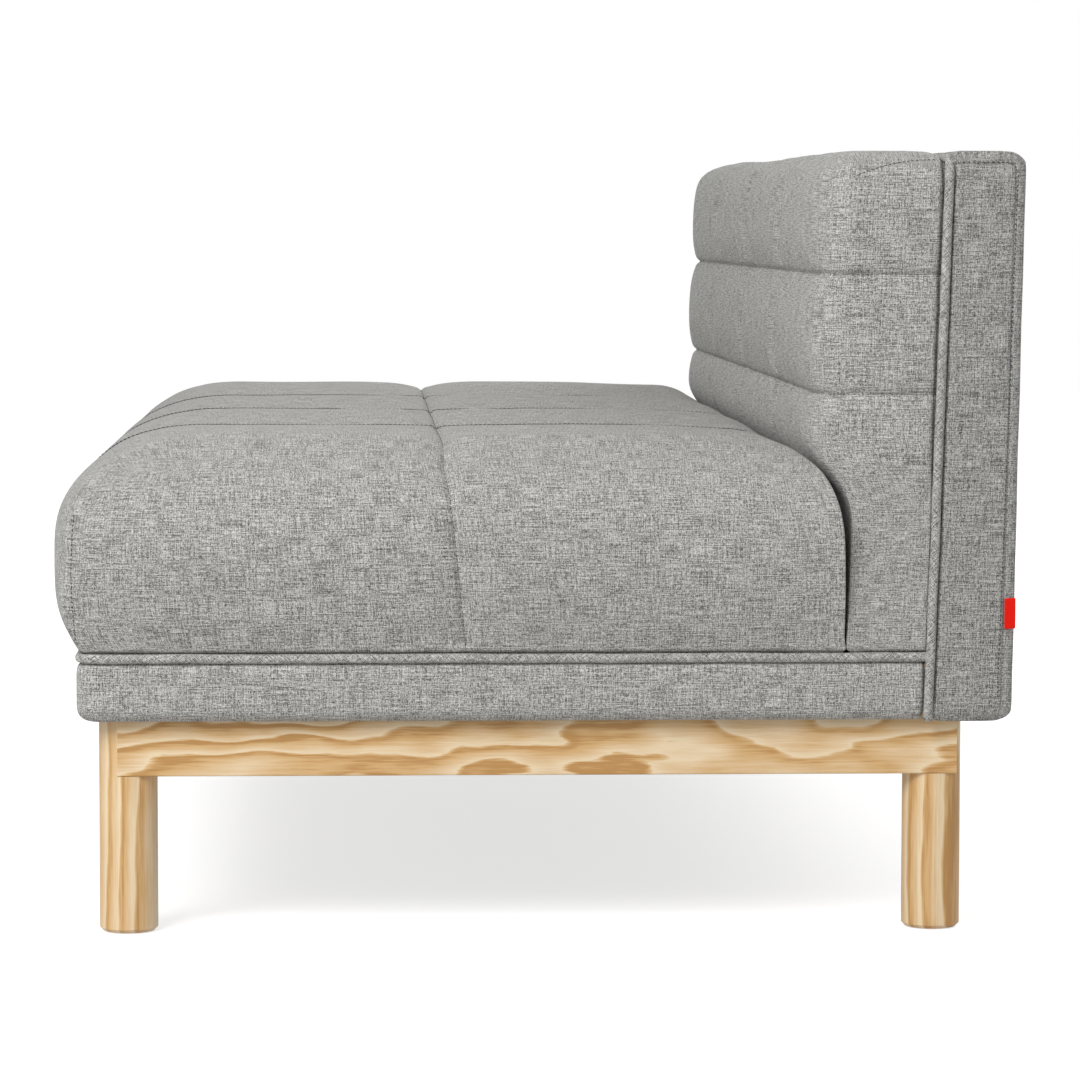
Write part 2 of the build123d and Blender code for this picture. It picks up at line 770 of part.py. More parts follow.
with BuildPart() as outside_back_cover:
    extrude(
        outside_back_profile(-deck_end, 0, deck_floor, welt_gap, back_rear_round, back_foot_round),
        amount=deck_length,
    )
    end_faces = outside_back_cover.faces().filter_by(Axis.X)
    fillet([edge for face in end_faces for edge in face.edges().sort_by(Axis.Y)[1:]], back_end_edge)
    extrude(
        outside_back_profile(
            -deck_end + cover_wall, cover_wall, frame_floor, 0, back_rear_round - cover_wall, 0
        ),
        amount=deck_length - 2 * cover_wall,
        mode=Mode.SUBTRACT,
    )
    with BuildSketch(Plane.XY.offset(deck_floor)):
        with Locations((0, back_rear_foot - lip_width - outside_back_depth)):
            Rectangle(2 * (deck_end - lip_width), 2 * outside_back_depth)
    extrude(amount=lip_thickness, mode=Mode.SUBTRACT)
save(outside_back_cover, "outside_back_cover")

# Back welt: piping up both ends and over the top of the back, in the plane of its lean
welt_plane = Plane(origin=(0, back_foot, deck_floor), x_dir=(1, 0, 0), z_dir=(0, -1, lean))
welt_rise = (welt_top - deck_floor) * sqrt(1 + lean**2)
with BuildPart() as back_welt:
    with BuildLine(welt_plane) as back_welt_path:
        FilletPolyline(
            (-welt_end, welt_radius),
            (-welt_end, welt_rise),
            (welt_end, welt_rise),
            (welt_end, welt_radius),
            radius=back_end_edge,
        )
    with BuildSketch(Plane(origin=back_welt_path.line @ 0, z_dir=back_welt_path.line % 0)):
        RegularPolygon(welt_radius, welt_sides)
    sweep()
save(back_welt, "back_welt")

# Dust cover: cloth under the seat and back frames, cut out square for the base bolts
cloth_front = deck_front + lip_width + soft_clearance
cloth_rear = back_rear_foot - lip_width - soft_clearance
with BuildPart() as dust_cover:
    with BuildSketch(Plane.XY.offset(base_top)):
        with Locations((0, (cloth_front + cloth_rear) / 2)):
            cloth = Rectangle(2 * (deck_end - lip_width - soft_clearance), cloth_rear - cloth_front)
        fillet(cloth.vertices().group_by(Axis.Y)[0], deck_corner - lip_width)
        with Locations([(side * base_bolt_x, y) for side_name, side in sides for y in base_bolt_y]):
            Rectangle(2 * bolt_hole, 2 * bolt_hole, mode=Mode.SUBTRACT)
    extrude(amount=dust_cloth)
save(dust_cover, "dust_cover")

# Label tab: a plain strip of red fabric that comes out of the rear seam
tab_rear = back_line(tab_level) + outside_back_depth
label_tab = block(
    (deck_end + tab_gap, deck_end + tab_gap + tab_thickness),
    (tab_rear - tab_width, tab_rear),
    (tab_level, tab_level + tab_height),
)
save(label_tab, "label_tab")
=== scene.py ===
import json
import math

import bpy
import numpy as np
from mathutils import Matrix, Vector, noise
from mathutils.bvhtree import BVHTree


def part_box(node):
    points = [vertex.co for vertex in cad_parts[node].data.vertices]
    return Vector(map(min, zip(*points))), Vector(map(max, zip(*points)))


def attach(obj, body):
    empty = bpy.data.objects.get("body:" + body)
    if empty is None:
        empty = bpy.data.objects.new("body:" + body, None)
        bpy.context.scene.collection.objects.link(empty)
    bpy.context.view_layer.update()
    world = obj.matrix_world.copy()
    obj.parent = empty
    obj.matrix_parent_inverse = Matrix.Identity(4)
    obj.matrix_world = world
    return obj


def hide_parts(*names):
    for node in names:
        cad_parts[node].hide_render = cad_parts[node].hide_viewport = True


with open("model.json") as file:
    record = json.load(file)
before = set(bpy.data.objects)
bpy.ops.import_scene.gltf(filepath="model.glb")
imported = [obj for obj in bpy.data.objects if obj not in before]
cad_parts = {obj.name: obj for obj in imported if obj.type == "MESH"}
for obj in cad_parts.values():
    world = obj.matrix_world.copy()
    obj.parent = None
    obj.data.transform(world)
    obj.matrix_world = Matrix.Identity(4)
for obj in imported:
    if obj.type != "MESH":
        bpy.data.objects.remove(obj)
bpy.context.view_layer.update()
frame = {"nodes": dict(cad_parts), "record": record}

nodes = frame["nodes"]
scene = bpy.context.scene


def node_box(name):
    """Lowest and highest corner of a solid, as arrays."""
    low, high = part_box(name)
    return np.array(low), np.array(high)


# Boxes of the soft solids that the dressed pieces stand for, in metres
seat_low, seat_high = node_box("seat_cover")
shell_low, shell_high = node_box("outside_back_cover")
band_low, band_high = node_box("deck_band")
deck_welt_low, deck_welt_high = node_box("deck_welt")
back_welt_low, back_welt_high = node_box("back_welt")
dust_low, dust_high = node_box("dust_cover")
tab_low, tab_high = node_box("label_tab")

# The leaning line of the back, on which its welt runs up
welt_radius = (deck_welt_high[2] - deck_welt_low[2]) / 2
back_foot = back_welt_low[1] + welt_radius
back_rise = back_welt_high[2] - back_welt_low[2]
back_slope = (back_welt_high[1] - back_welt_low[1] - 2 * welt_radius) / back_rise
deck_end = band_high[0]
welt_level = (deck_welt_low[2] + deck_welt_high[2]) / 2
shell_depth = shell_high[1] - back_foot - (shell_high[2] - back_welt_low[2]) * back_slope

# Tufting: four columns, two rows on the seat and three on the back
column_seams = (-deck_end / 2, 0.0, deck_end / 2)
seat_row_seam = -0.0915
back_row_seams = (0.518, 0.632)
grid_step = 0.0105
crease_offsets = (-0.0075, -0.0040, -0.0016, 0.0, 0.0016, 0.0040, 0.0075)
crease_width = 0.0020
tuft_half = deck_end / 4
dome_power = 1.35
cross_dip_share = 0.25
seam_hold = 0.003
end_facing = 0.5
edge_offsets = (0.0, 0.0028, 0.0050, 0.0062, 0.0078, 0.0104, 0.0145, 0.0205)

# Seat cushion
seat_rounds_low = np.array((0.120, 0.160, 0.0))
seat_rounds_high = np.array((0.120, 0.085, 0.105))
seat_power = 2.4
seat_corner_square = 0.75
seat_foot_square = 0.90
seat_foot_share = 0.5
seat_belly = 0.345
seat_tuck_power = 3.0
seat_front_tuck = 0.032
seat_tuck_start = 0.25
seat_front_swell = 0.002
seat_end_swell = 0.005
seat_end_belly = 0.400
seat_end_power = 1.9
seat_end_tuck = 0.025
seat_rear_fall = 0.006
seat_fall_start = 0.08
seat_fall_shares = (0.3, 0.8)
seat_row_depth = 0.0065
seat_row_foot_share = 0.45
seat_row_width = 0.014
seat_row_crease = 0.0034
seat_row_drift = 0.022
seat_drift_reach = 0.12
seat_dome = 0.0045
seat_column_crease = 0.0015
seat_front_ease = 0.6
seat_lift = -0.004
seat_rise_share = 0.10
seat_rear_draw = 0.004
seat_draw_shares = (0.12, 0.70)
seat_wave = 0.0014
seat_wave_count = 9.0
seat_pucker = 0.0005
seat_pucker_count = 42.0
seat_pucker_reach = 0.03

# Back cushion
back_depth = 0.126
tail_depth = 0.0815
tail_top = 0.478
tail_foot = 0.400
back_rounds_low = np.array((0.046, 0.036, 0.0))
back_rounds_high = np.array((0.046, 0.0, 0.030))
back_power = 2.2
back_row_depth = 0.0085
back_row_end_share = 0.35
back_row_width = 0.014
back_row_crease = 0.0034
back_column_depth = 0.0075
back_column_width = 0.014
back_column_crease = 0.0034
back_lift = -0.001
back_crown = 0.001
back_end_drop = 0.003
back_end_power = 4
back_far_rise = 0.005
back_swell = 0.0015
back_swell_fall = 0.004
back_swell_level = 0.575
back_swell_reach = 0.150
back_wave = 0.0012
back_wave_count = 11.0
back_pucker = 0.0006
back_pucker_count = 48.0
back_pucker_reach = 0.028

# Air in the cushions, and what of each cushion is held while it swells
air_pressure = 4.0
air_stiffness = 25.0
air_bending = 2.0
air_frames = 12
air_cap = 0.003
air_top_share = 0.5
air_column_reach = 0.15
seat_held_share = 0.06
seat_held_rear = 0.02
back_held_edge = 0.004
back_held_foot = 0.03

# Fabric drawn in beside the piping
edge_tuck = 0.0065
edge_tuck_reach = 0.0018

# Outside back
shell_drop = 0.0015
shell_rounds_low = np.array((0.010, 0.0, 0.022))
shell_rounds_high = np.array((0.010, 0.024, 0.024))
shell_power = 2.2
shell_rear_kick = 0.008
shell_wave = 0.0008
shell_wave_count = 13.0
topstitch_inset = 0.011
topstitch_depth = 0.0030
topstitch_width = 0.0014
topstitch_overrun = 0.004
topstitch_line = shell_depth - topstitch_inset
topstitch_level = shell_high[2] - topstitch_inset

# Deck band and piping; the band's roll is given as insets and drops from its top
deck_corner = 0.025
deck_turn_steps = 9
band_roll = ((edge_tuck, 0.0002), (0.0034, 0.0014), (0.0012, 0.0032),
             (0.0002, 0.007), (0.0, 0.016), (0.0002, 0.030))
band_round = 0.013
band_turn_steps = 5
band_lip = 0.014
band_lip_height = 0.0028
band_reach = 0.0065
band_wall = 0.004
band_inner_lean = 0.001
band_inner_drop = 0.02
band_wave = 0.0007
band_wave_count = 14.0
back_welt_sink = 0.006
deck_welt_sink = 0.002
piping_wave = 0.0007
piping_wave_count = 22.0
piping_corner = 0.012
piping_turn_steps = 7
piping_bias = math.pi / 4
path_step = 0.012
tube_sides = 16

# Where each fabric's weave starts, so that no two pieces share their threads
tab_weave = 1.0
seat_weave = 3.0
back_weave = 7.0
shell_weave = 11.0
band_weave = 15.0
deck_piping_weave = 19.0
back_piping_weave = 23.0

# Label tab and dust cover
tab_grid = (3, 9, 15)
tab_shift = 0.003
tab_curl = 0.0009
tab_curl_turn = 2.3
tab_curl_start = 0.4
tab_lift = 0.0006
dust_grid = (61, 41)
cambric_thickness = 0.0008

# Stitching: topstitches, and dark seam threads on the tufts, which also paint the seams' shade lines
stitch_pitch = 0.0046
stitch_length = 0.0036
stitch_radius = 0.0007
stitch_lift = 0.0003
stitch_corner = 0.012
stitch_turn_steps = 7
stitch_top_places = 8
stitch_rear_places = 60
stitch_start = 2.5 * welt_radius
stitch_foot = shell_low[2] + 2 * topstitch_inset
# painted shade: the seam threads stand proud of the seams so that their dark colour draws each seam's
# shaded line
column_shade_thread_lift = 0.0015
row_shade_thread_lift = 0.0005
seam_shade_thread_radius = 0.0009
seam_shade_thread_length = 0.0052
back_seam_front = 0.300
back_seam_rear = 0.377
back_seam_level = 0.7405
back_seam_fall = 0.015
back_seam_power = 2.2
back_seam_places = 30
corner_seam_front = -0.4405
corner_seam_bow = 0.003
corner_seam_top = 0.406
corner_seam_foot = 0.285
corner_seam_places = 40

# Tweed: noises with their waves a metre each way and their weights, shades, and the outside back's painted
# shade, a darkening that stands for less light on the rear panel
tweed_layers = (
    ((1150.0, 1150.0, 1.0), 1.75),
    ((1200.0, 240.0, 1.0), 1.20),
    ((240.0, 1200.0, 1.0), 1.10),
    ((950.0, 36.0, 1.0), 0.85),
    ((36.0, 950.0, 1.0), 1.10),
    ((50.0, 50.0, 1.0), 0.20),
)
tweed_shades = (
    (0.05, (0.085, 0.084, 0.079)),
    (0.32, (0.235, 0.231, 0.218)),
    (0.55, (0.395, 0.390, 0.370)),
    (0.95, (0.700, 0.695, 0.670)),
)
# painted shade: the outside back's tweed is darkened to stand for the light falling off towards the rear
outside_painted_shade = 0.83

# Ash: noises with their waves a metre across and along the grain, detail and roughness, and shades
ash_layers = {
    "wander": (9.0, 3.4, 3.0, 0.5),
    "jag": (210.0, 26.0, 3.0, 0.6),
    "pores": (620.0, 34.0, 2.0, 0.6),
    "fibre": (330.0, 5.0, 3.0, 0.6),
    "bold": (16.0, 4.0, 2.0, 0.6),
}
ash_shades = (
    (0.02, (0.830, 0.660, 0.435)),
    (0.38, (0.740, 0.525, 0.295)),
    (0.72, (0.645, 0.400, 0.168)),
    (0.95, (0.485, 0.255, 0.078)),
)
jag_share = 0.041
bold_gain = 1.3
bold_base = 0.50
pore_share = 0.55
year_end_power = 14.0

# Timbers: heart line, first seed, sway of the grain, rings a metre and streaks
side_rail_heart = (0.60, 0.15)
side_rail_seed = 3.0
long_rail_heart = (0.30, 0.12)
long_rail_seed = 11.0
rail_sway = 0.085
rail_rings = 95.0
rail_streak = 0.6
leg_heart = (1.4, 1.2)
leg_seed = 21.0
leg_sway = 0.030
leg_rings = 70.0
leg_streak = 0.9

# Floor and light
floor_size = 24.0
floor_tone = 0.64
floor_glow = 0.70
world_light = 0.50

# Camera, fitted to the photograph's frame of 1080 by 1080
camera_place = Vector((4.70643, -0.17526, 0.67801))
camera_yaw = 0.0441183
camera_pitch = -0.0750017
camera_roll = 0.00164968
camera_lens = 139.635
camera_sensor = 36.0


def grid_lines(low, high, marks=()):
    """Grid lines from low to high, closer at both ends, with a bundle of close ones along each seam."""
    edge = np.array(edge_offsets)
    start, end = low + edge[-1], high - edge[-1]
    inner = np.linspace(start, end, round((end - start) / grid_step) + 1)
    lines = np.concatenate((low + edge[:-1], inner, high - edge[:-1]))
    spread = crease_offsets[-1] + grid_step / 3
    for mark in marks:
        lines = lines[np.abs(lines - mark) > spread]
        lines = np.append(lines, mark + np.array(crease_offsets))
    return np.sort(lines)


def block(*lines):
    """Points over the six sides of a box on these grid lines, and its quads by side (axis, end)."""
    counts = [len(line) for line in lines]
    place = np.indices(counts)
    outer = np.zeros(counts, bool)
    for axis in range(3):
        outer |= (place[axis] == 0) | (place[axis] == counts[axis] - 1)
    number = np.full(counts, -1)
    number[outer] = np.arange(outer.sum())
    points = np.stack([lines[axis][place[axis][outer]] for axis in range(3)], axis=1)
    sides = {}
    for axis in range(3):
        for end in (-1, 1):
            sheet = np.take(number, 0 if end < 0 else -1, axis)
            quads = np.stack((sheet[:-1, :-1], sheet[1:, :-1], sheet[1:, 1:], sheet[:-1, 1:]), axis=-1)
            quads = quads.reshape(-1, 4)
            sides[axis, end] = quads[:, ::-1] if (end < 0) != (axis == 1) else quads
    return points, sides


def cloth_map(points, sides, face, across, along, start):
    """Weave coordinates in metres: flat on one face of a block and folded down over its neighbours."""
    axis, end = face
    drop = np.abs(points[:, axis] - (points[:, axis].max() if end > 0 else points[:, axis].min()))
    maps = []
    for (side, side_end), quads in sides.items():
        u = points[:, across] + drop * side_end * (side == across)
        v = points[:, along] + drop * side_end * (side == along)
        maps.append(np.stack((u + start, v + start), axis=-1)[quads.ravel()])
    return np.concatenate(maps)


def rounded(points, low, high, low_rounds, high_rounds, power, square=0.0):
    """Points of a box with its edges rounded off, upright ones less where square, and how each faces."""
    inner = np.clip(points, low + low_rounds, high - high_rounds)
    upper = points > inner
    reach = np.where(upper, high_rounds, low_rounds)
    past = np.abs(points - inner) / np.maximum(reach, 1e-9)
    part = past ** power
    size = part.sum(axis=1)
    mitred = part[:, 2] + np.maximum(part[:, 0], part[:, 1])
    size = (size + (mitred - size) * square) ** (1 / power)
    past = past / np.maximum(size, 1.0)[:, None]
    facing = past * np.where(upper, 1.0, -1.0)
    length = np.linalg.norm(facing, axis=1)
    return inner + facing * reach, facing / np.maximum(length, 1e-9)[:, None]


def bell(distance, reach):
    """1 at no distance, falling softly to nothing past the reach."""
    return np.exp(-((distance / reach) ** 2))


def valley(distance, depth, width, crease):
    """Depth of a sewn channel at a distance from its seam: full tufts that meet in a tight crease."""
    return depth * np.exp(-distance / width) + crease * bell(distance, crease_width)


def dome(distance, fall, crease):
    """Fall of a wide, low tuft towards a seam at this distance, with a fine crease along it."""
    slope = np.clip(1 - distance / tuft_half, 0.0, 1.0) ** dome_power
    return fall * slope + crease * bell(distance, crease_width)


def crossing(row_dip, column_dip):
    """Depth where rows and columns of tufts cross: the deeper dip and a share of the other."""
    return np.maximum(row_dip, column_dip) + cross_dip_share * np.minimum(row_dip, column_dip)


def welt_tuck(distance):
    """How far fabric is drawn in at this distance from its piping."""
    return edge_tuck * bell(np.clip(distance, 0.0, None), edge_tuck_reach)


def tuck_below(levels, belly, foot, power):
    """0 above the belly of a cushion, growing to 1 at its foot."""
    return np.clip((belly - levels) / (belly - foot), 0.0, 1.0) ** power


def seam_shade_thread(points, facing, picked, order, lift):
    """Path of a seam's dark thread, which also paints the seam's shade line, and the way it faces: the
    picked points of a cushion, put in order.
    """
    rank = np.flatnonzero(picked)[np.argsort(order[picked])]
    return points[rank] + facing[rank] * lift, facing[rank]


def nearest_seam(values, seams):
    """Distance from each value to the nearest of the seams."""
    return np.min([np.abs(values - seam) for seam in seams], axis=0)


def ripple(points, frequency, offset=0.0):
    """Smooth noise over the points, at so many waves a metre."""
    shift = Vector((offset, offset, offset))
    return np.array([noise.noise(Vector(point) * frequency + shift) for point in points])


def smooth_step(values, start, end):
    """0 before start, 1 after end, and a soft step between them."""
    share = np.clip((values - start) / (end - start), 0.0, 1.0)
    return share * share * (3 - 2 * share)


def make_piece(name, points, quads, weave=None):
    """A smooth mesh piece, with its weave map where it has one."""
    mesh = bpy.data.meshes.new(name)
    mesh.from_pydata(np.asarray(points).tolist(), [], [list(map(int, quad)) for quad in quads])
    if weave is not None:
        mesh.uv_layers.new(name="weave").data.foreach_set("uv", np.asarray(weave).ravel())
    mesh.shade_smooth()
    piece = bpy.data.objects.new(name, mesh)
    scene.collection.objects.link(piece)
    return piece


def subdivide(piece):
    """One level finer, in the viewport and the render alike."""
    smooth = piece.modifiers.new("finer", "SUBSURF")
    smooth.levels = 1
    smooth.render_levels = 1


def inflate(piece, held, kept):
    """Swells a closed cushion by simulated air, its seams held, and keeps a share of it in the mesh."""
    group = piece.vertex_groups.new(name="held")
    group.add([int(index) for index in held], 1.0, "REPLACE")
    cloth = piece.modifiers.new("air", "CLOTH")
    cloth.settings.vertex_group_mass = "held"
    cloth.settings.use_pressure = True
    cloth.settings.uniform_pressure_force = air_pressure
    cloth.settings.effector_weights.gravity = 0.0
    cloth.settings.tension_stiffness = air_stiffness
    cloth.settings.compression_stiffness = air_stiffness
    cloth.settings.bending_stiffness = air_bending
    cloth.collision_settings.use_collision = False
    cloth.point_cache.frame_start = 1
    cloth.point_cache.frame_end = air_frames
    for step in range(1, air_frames + 1):
        scene.frame_set(step)
    swollen = piece.evaluated_get(bpy.context.evaluated_depsgraph_get()).data
    before = np.empty(len(piece.data.vertices) * 3, np.float32)
    after = np.empty_like(before)
    piece.data.vertices.foreach_get("co", before)
    swollen.vertices.foreach_get("co", after)
    move = (after - before).reshape(-1, 3)
    length = np.linalg.norm(move, axis=1)
    move *= (kept * air_cap / np.maximum(length, air_cap))[:, None]
    piece.modifiers.remove(cloth)
    piece.vertex_groups.remove(group)
    piece.data.vertices.foreach_set("co", before + move.ravel())
    piece.data.update()
    scene.frame_set(1)


def make_seat():
    """Seat cushion: crowned tufts, a full belly at the front and ends, drawn in at its foot."""
    low = np.array((seat_low[0] - seat_end_swell, seat_low[1] - seat_front_swell, welt_level))
    high = seat_high + (seat_end_swell, 0.0, 0.0)
    lines = (
        grid_lines(low[0], high[0], column_seams),
        grid_lines(low[1], high[1], (seat_row_seam,)),
        grid_lines(low[2], high[2]),
    )
    flat, sides = block(*lines)
    weave = cloth_map(flat, sides, face=(2, 1), across=1, along=0, start=seat_weave)
    share = (flat[:, 2] - low[2]) / (high[2] - low[2])
    foot = 1 - smooth_step(share, 0.0, seat_foot_share)
    corner = seat_corner_square + (seat_foot_square - seat_corner_square) * foot
    square = np.where(flat[:, 1] > 0, 1.0, corner)
    points, facing = rounded(flat, low, high, seat_rounds_low, seat_rounds_high, seat_power, square)
    outward = facing * (1, 1, 0)
    row = np.abs(flat[:, 1] - seat_row_seam)
    end_tuck = tuck_below(flat[:, 2], seat_end_belly, low[2], seat_end_power)
    front_tuck = tuck_below(flat[:, 2], seat_belly, low[2], seat_tuck_power)
    rear_fall = smooth_step(flat[:, 1], seat_fall_start, high[1]) * smooth_step(share, *seat_fall_shares)
    rear_draw = np.clip(facing[:, 1], 0.0, 1.0) * smooth_step(share, *seat_draw_shares)
    points[:, 0] -= seat_end_tuck * end_tuck * flat[:, 0] / high[0]
    points[:, 1] += seat_front_tuck * front_tuck * smooth_step(-flat[:, 1], seat_tuck_start, -low[1])
    points[:, 1] += seat_row_drift * (1 - share) * bell(row, seat_drift_reach)
    points[:, 1] -= seat_rear_draw * rear_draw
    points[:, 2] -= seat_rear_fall * rear_fall
    points -= outward * welt_tuck(flat[:, 2] - low[2] - welt_radius)[:, None]
    column = nearest_seam(flat[:, 0], column_seams)
    on_end = np.abs(facing[:, 0])
    row_depth = seat_row_depth * (seat_row_foot_share + (1 - seat_row_foot_share) * share)
    row_dip = valley(row, row_depth, seat_row_width, seat_row_crease)
    column_dip = dome(column, seat_dome, seat_column_crease) * (1 - on_end)
    column_dip *= 1 - seat_front_ease * np.clip(-facing[:, 1], 0.0, 1.0)
    pucker = ripple(flat, seat_pucker_count) * bell(np.minimum(row, column), seat_pucker_reach)
    rise = seat_lift + seat_wave * ripple(flat, seat_wave_count) + seat_pucker * pucker
    rise -= crossing(row_dip, column_dip)
    points += facing * (rise * smooth_step(share, 0.0, seat_rise_share))[:, None]
    quads = np.concatenate(list(sides.values()))
    seat = make_piece("seat_cushion", points, quads, weave)
    sewn = (row < seam_hold) | ((column < seam_hold) & (on_end < end_facing))
    fixed = (share < seat_held_share) | (flat[:, 1] > high[1] - seat_held_rear)
    kept = np.maximum(air_top_share * smooth_step(column, 0.0, air_column_reach), on_end)
    inflate(seat, np.flatnonzero(sewn | fixed), kept)
    subdivide(seat)
    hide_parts("seat_cover", "seat_foam")
    on_top = flat[:, 2] == high[2]
    on_front = flat[:, 1] == low[1]
    at_ends = (flat[:, 0] == low[0]) | (flat[:, 0] == high[0])
    down_front = flat[:, 1] + flat[:, 2]
    down_ends = flat[:, 0] + np.sign(flat[:, 0]) * (high[2] - flat[:, 2])
    # dark threads along the seams: stitching, and painted shade on the seam lines
    shade_threads = []
    for seam in column_seams:
        along = (flat[:, 0] == seam) & (on_top | on_front)
        shade_threads.append(seam_shade_thread(points, facing, along, down_front, column_shade_thread_lift))
    across = (row == 0) & (on_top | at_ends)
    shade_threads.append(seam_shade_thread(points, facing, across, down_ends, row_shade_thread_lift))
    return seat, shade_threads


def lean_back(points):
    """Points measured from the line of the back, moved to where that line leans."""
    leaned = points.copy()
    leaned[:, 1] += back_foot + (points[:, 2] - back_welt_low[2]) * back_slope
    return leaned


def make_back():
    """Inside back: three rows of tufts over the ends and top, and a slimmer tail behind the seat."""
    low = np.array((-deck_end, -back_depth, welt_level))
    high = np.array((deck_end, 0.0, shell_high[2]))
    lines = (
        grid_lines(low[0], high[0], column_seams),
        grid_lines(low[1], high[1]),
        grid_lines(low[2], high[2], back_row_seams),
    )
    flat, sides = block(*lines)
    weave = cloth_map(flat, sides, face=(1, -1), across=0, along=2, start=back_weave)
    tail = 1 - smooth_step(flat[:, 2], tail_foot, tail_top)
    points, facing = rounded(flat, low, high, back_rounds_low, back_rounds_high, back_power, tail)
    front = np.clip(-facing[:, 1], 0.0, 1.0)
    row = nearest_seam(flat[:, 2], back_row_seams)
    column = nearest_seam(flat[:, 0], column_seams)
    row_depth = back_row_depth * (back_row_end_share + (1 - back_row_end_share) * front)
    row_dip = valley(row, row_depth, back_row_width, back_row_crease)
    column_dip = valley(column, back_column_depth, back_column_width, back_column_crease)
    column_dip *= (1 - np.abs(facing[:, 0])) * (1 - tail)
    pucker = ripple(flat, back_pucker_count, offset=5.0) * bell(np.minimum(row, column), back_pucker_reach)
    rise = back_lift + back_wave * ripple(flat, back_wave_count, offset=9.0) + back_pucker * pucker
    rise -= crossing(row_dip, column_dip)
    rise -= welt_tuck(np.minimum(-flat[:, 1], flat[:, 2] - low[2]) - welt_radius)
    points += facing * rise[:, None]
    points[:, 1] += tail * (back_depth - tail_depth) * (high[1] - flat[:, 1]) / (high[1] - low[1])
    swell = back_swell - back_swell_fall * ((flat[:, 2] - back_swell_level) / back_swell_reach) ** 2
    points[:, 1] -= (1 - tail) * swell * flat[:, 1] / low[1]
    crown = back_crown - back_end_drop * (flat[:, 0] / deck_end) ** back_end_power
    crown += back_far_rise * smooth_step(-flat[:, 0], tuft_half, 3 * tuft_half)
    points[:, 2] += crown * smooth_step(flat[:, 2], back_row_seams[1], high[2])
    quads = np.concatenate(list(sides.values()))
    leaned = lean_back(points)
    back = make_piece("back_cushion", leaned, quads, weave)
    sewn = (row < seam_hold) | ((column < seam_hold) & (np.abs(facing[:, 0]) < end_facing))
    fixed = (flat[:, 1] > high[1] - back_held_edge) | (flat[:, 2] < tail_foot + back_held_foot)
    inflate(back, np.flatnonzero(sewn | fixed), np.ones(len(flat)))
    subdivide(back)
    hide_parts("back_cover", "back_foam")
    on_front = flat[:, 1] == low[1]
    at_ends = (flat[:, 0] == low[0]) | (flat[:, 0] == high[0])
    round_ends = flat[:, 0] + np.sign(flat[:, 0]) * (flat[:, 1] - low[1])
    # dark threads along the row seams: stitching, and painted shade on the seam lines
    shade_threads = []
    for seam in back_row_seams:
        across = (flat[:, 2] == seam) & (on_front | at_ends)
        shade_threads.append(seam_shade_thread(leaned, facing, across, round_ends, row_shade_thread_lift))
    return back, shade_threads


def make_shell():
    """Outside back: fabric over the ends, top, rear and underside, topstitched round each end panel."""
    low = np.array((-deck_end, 0.0, shell_low[2] - shell_drop))
    high = np.array((deck_end, shell_depth, shell_high[2]))
    lines = (
        grid_lines(low[0], high[0]),
        grid_lines(low[1], high[1], (topstitch_line,)),
        grid_lines(low[2], high[2], (topstitch_level,)),
    )
    flat, sides = block(*lines)
    weave = cloth_map(flat, sides, face=(1, 1), across=0, along=2, start=shell_weave)
    points, facing = rounded(flat, low, high, shell_rounds_low, shell_rounds_high, shell_power)
    below_top = flat[:, 2] < topstitch_level + topstitch_overrun
    before_rear = flat[:, 1] < topstitch_line + topstitch_overrun
    across = np.where(below_top, np.abs(flat[:, 1] - topstitch_line), 1.0)
    upward = np.where(before_rear, np.abs(flat[:, 2] - topstitch_level), 1.0)
    dip = topstitch_depth * bell(np.minimum(across, upward), topstitch_width) * np.abs(facing[:, 0])
    flat_part = 1 - 2 * np.abs(facing[:, 0] * facing[:, 2])
    tuck = flat_part * welt_tuck(flat[:, 1] - welt_radius)
    swell = shell_wave * ripple(flat, shell_wave_count, offset=21.0)
    points += facing * (swell - dip - tuck)[:, None]
    below = (high[2] - flat[:, 2]) / (high[2] - low[2])
    points[:, 1] += shell_rear_kick * below * flat[:, 1] / high[1]
    shell = make_piece("outside_back", lean_back(points), np.concatenate(list(sides.values())), weave)
    subdivide(shell)
    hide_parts("outside_back_cover")
    return shell


def deck_line(inset):
    """Plan of the deck from its right rear corner round the front to its left, set in by so much."""
    front = band_low[1]
    rear = band_high[1] + band_reach
    front_count = round(2 * (deck_end - deck_corner) / path_step)
    plain = rear - edge_offsets[-1]
    side = np.linspace(plain, front + deck_corner, round((plain - front - deck_corner) / path_step))
    side = np.concatenate((rear - np.array(edge_offsets[:-1]), side))
    turn = np.linspace(0, -math.pi / 2, deck_turn_steps)[1:-1]
    radius = deck_corner - inset
    right_turn = np.stack((deck_end - deck_corner + radius * np.cos(turn),
                           front + deck_corner + radius * np.sin(turn)), axis=1)
    right = np.concatenate((np.stack((np.full(len(side), deck_end - inset), side), axis=1), right_turn))
    middle_x = np.linspace(deck_end - deck_corner, deck_corner - deck_end, front_count)
    middle = np.stack((middle_x, np.full(front_count, front + inset)), axis=1)
    left = right[::-1] * (-1, 1)
    return np.concatenate((right, middle, left))


def grid_quads(rows, columns, closed):
    """Quads of a grid of points, joined round where its columns close."""
    number = np.arange(rows * columns).reshape(rows, columns)
    beside = np.roll(number, -1, axis=1)
    quads = np.stack((number[:-1], beside[:-1], beside[1:], number[1:]), axis=-1)
    if not closed:
        quads = quads[:, :-1]
    return quads.reshape(-1, 4)


